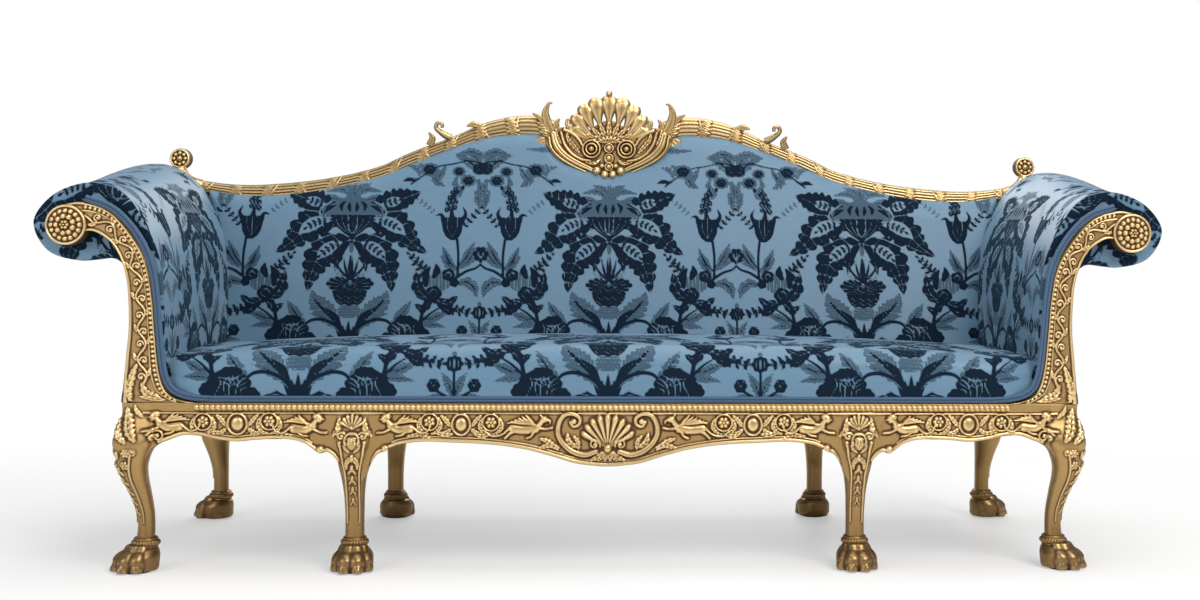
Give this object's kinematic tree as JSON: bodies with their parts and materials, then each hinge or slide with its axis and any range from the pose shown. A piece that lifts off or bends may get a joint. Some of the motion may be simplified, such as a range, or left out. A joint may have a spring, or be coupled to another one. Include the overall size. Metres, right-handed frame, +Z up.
{
  "type": "cabriole sofa",
  "caption": "Long giltwood sofa with paw feet, carved rails, camel back with pierced shell crest, out-scrolled padded arms and blue floral damask.",
  "frame": {"origin": "centre of the footprint box, on the floor", "axes": "+X across the width to the right as seen from the front, +Y from front to back, +Z up"},
  "size_m": [2.2538, 0.722, 0.9901],
  "materials": {
    "giltwood": "carved wood, water gilt, rubbed and toned",
    "frame_wood": "plain sawn beech",
    "damask": "cut velvet and satin damask",
    "braid": "woven gimp with a dark cord line",
    "hair": "curled hair in a linen under-cover",
    "webbing": "woven jute",
    "hessian": "plain-weave jute",
    "dust_cloth": "plain black cotton",
    "pad": "darkened wood glide"
  },
  "bodies": {
    "root": {"arm_back_stump_left": "frame_wood", "arm_back_stump_right": "frame_wood", "arm_cover_left": "damask", "arm_cover_right": "damask", "arm_facing_left": "giltwood", "arm_facing_right": "giltwood", "arm_lower_rail_left": "frame_wood", "arm_lower_rail_right": "frame_wood", "arm_roundel_left": "giltwood", "arm_roundel_right": "giltwood", "arm_stuffing_left": "hair", "arm_stuffing_right": "hair", "arm_top_rail_left": "frame_wood", "arm_top_rail_right": "frame_wood", "back_corner_leg_left": "giltwood", "back_corner_leg_right": "giltwood", "back_cover": "damask", "back_inner_leg_left": "giltwood", "back_inner_leg_right": "giltwood", "back_post_left": "frame_wood", "back_post_right": "frame_wood", "back_rail_center": "frame_wood", "back_rail_left": "frame_wood", "back_rail_right": "frame_wood", "back_stuffing": "hair", "back_tacking_rail": "frame_wood", "back_top_rail": "frame_wood", "back_upright_left": "frame_wood", "back_upright_right": "frame_wood", "back_webbing": "webbing", "bottom_cloth": "dust_cloth", "corner_braces": "frame_wood", "crest_arch_left": "giltwood", "crest_arch_right": "giltwood", "crest_cartouche": "giltwood", "crest_leaves": "giltwood", "crest_moulding_left": "giltwood", "crest_moulding_right": "giltwood", "crest_rosette_left": "giltwood", "crest_rosette_right": "giltwood", "crest_shell": "giltwood", "cross_rail_left": "frame_wood", "cross_rail_right": "frame_wood", "foot_pads": "pad", "front_bead_moulding": "giltwood", "front_corner_leg_left": "giltwood", "front_corner_leg_right": "giltwood", "front_inner_leg_left": "giltwood", "front_inner_leg_right": "giltwood", "front_rail_center": "giltwood", "front_rail_left": "giltwood", "front_rail_right": "giltwood", "gimp": "braid", "outside_back_cover": "damask", "seat_cover": "damask", "seat_hessian": "hessian", "seat_stuffing": "hair", "seat_webbing": "webbing", "side_rail_left": "giltwood", "side_rail_right": "giltwood"}
  },
  "joints": []
}
